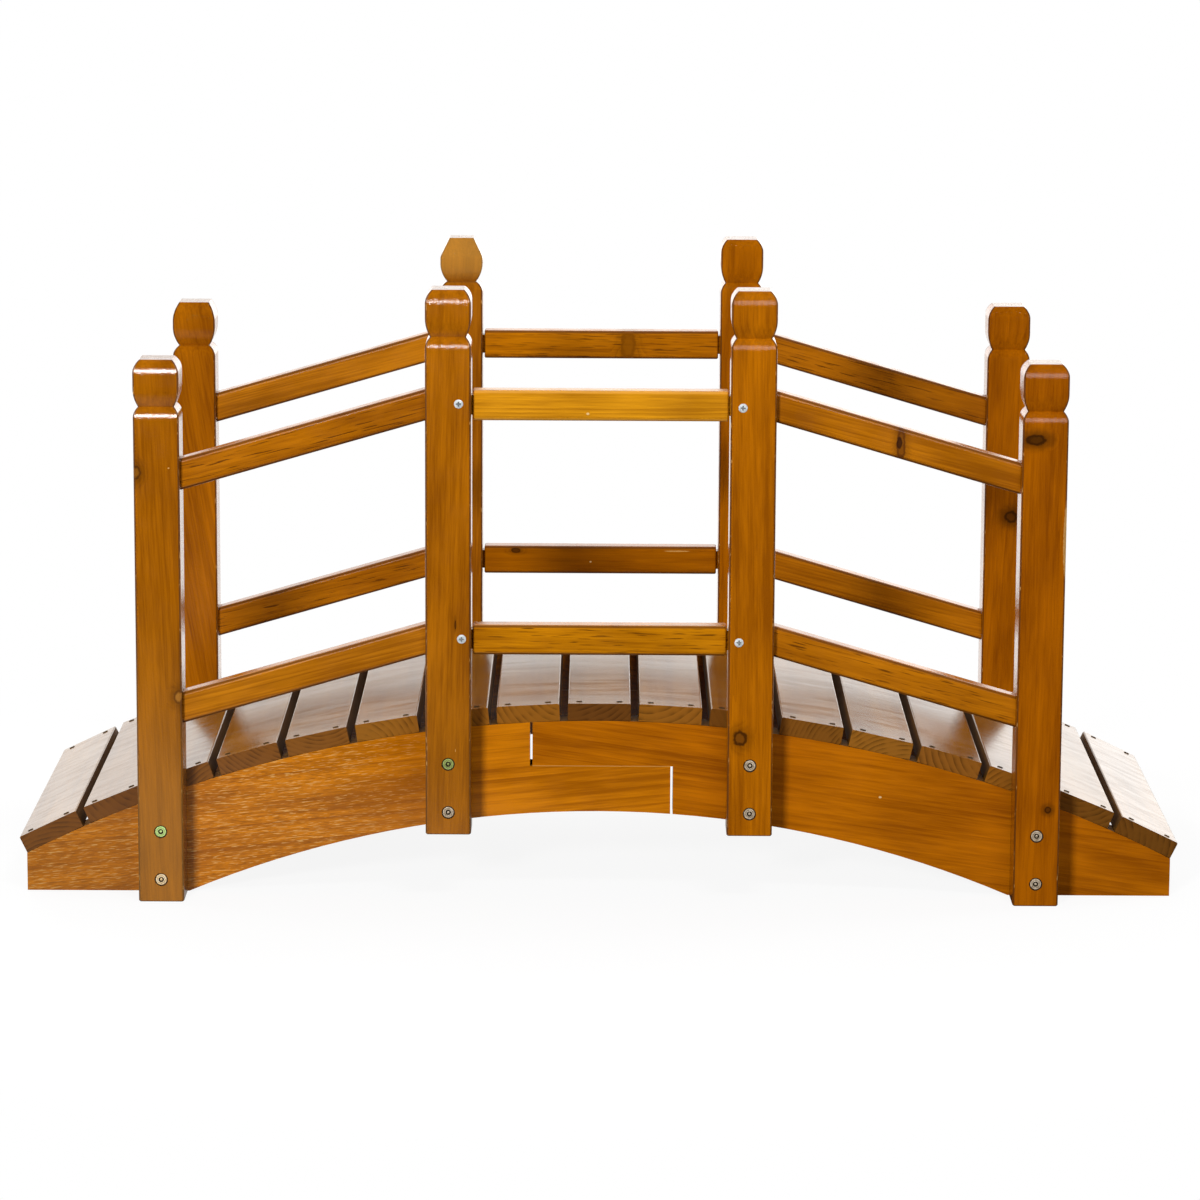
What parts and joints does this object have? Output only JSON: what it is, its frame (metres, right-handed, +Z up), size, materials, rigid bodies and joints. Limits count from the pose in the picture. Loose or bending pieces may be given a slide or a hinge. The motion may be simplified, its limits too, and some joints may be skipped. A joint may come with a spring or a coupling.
{
  "type": "arched wooden garden bridge",
  "caption": "Small arched garden bridge of stained timber: lapped arch beams carry a slatted deck, with posts with shaped finials and rails along both sides.",
  "frame": {"origin": "on the ground, under the middle of the bridge", "axes": "+X along the walkway to the right in the picture, +Y across it away from the viewer, +Z up"},
  "size_m": [1.5426, 0.65, 0.8152],
  "materials": {
    "beam_wood": "stained and varnished fir, glossy",
    "post_wood": "stained and varnished fir, glossy",
    "rail_wood": "stained and varnished fir, glossy",
    "slat_wood": "stained and varnished fir, glossy",
    "zinc": "zinc-plated steel bolts, screws and staples"
  },
  "bodies": {
    "root": {"front_left_beam": "beam_wood", "front_right_beam": "beam_wood", "back_left_beam": "beam_wood", "back_right_beam": "beam_wood", "front_left_end_post": "post_wood", "front_left_crown_post": "post_wood", "front_right_end_post": "post_wood", "front_right_crown_post": "post_wood", "back_left_end_post": "post_wood", "back_left_crown_post": "post_wood", "back_right_end_post": "post_wood", "back_right_crown_post": "post_wood", "front_left_top_rail": "rail_wood", "front_left_low_rail": "rail_wood", "front_middle_top_rail": "rail_wood", "front_middle_low_rail": "rail_wood", "front_right_top_rail": "rail_wood", "front_right_low_rail": "rail_wood", "back_left_top_rail": "rail_wood", "back_left_low_rail": "rail_wood", "back_middle_top_rail": "rail_wood", "back_middle_low_rail": "rail_wood", "back_right_top_rail": "rail_wood", "back_right_low_rail": "rail_wood", "deck_slat_01": "slat_wood", "deck_slat_02": "slat_wood", "deck_slat_03": "slat_wood", "deck_slat_04": "slat_wood", "deck_slat_05": "slat_wood", "deck_slat_06": "slat_wood", "deck_slat_07": "slat_wood", "deck_slat_08": "slat_wood", "deck_slat_09": "slat_wood", "deck_slat_10": "slat_wood", "deck_slat_11": "slat_wood", "deck_slat_12": "slat_wood", "deck_slat_13": "slat_wood", "deck_slat_14": "slat_wood", "deck_slat_15": "slat_wood", "deck_slat_16": "slat_wood", "deck_slat_17": "slat_wood"}
  },
  "joints": []
}
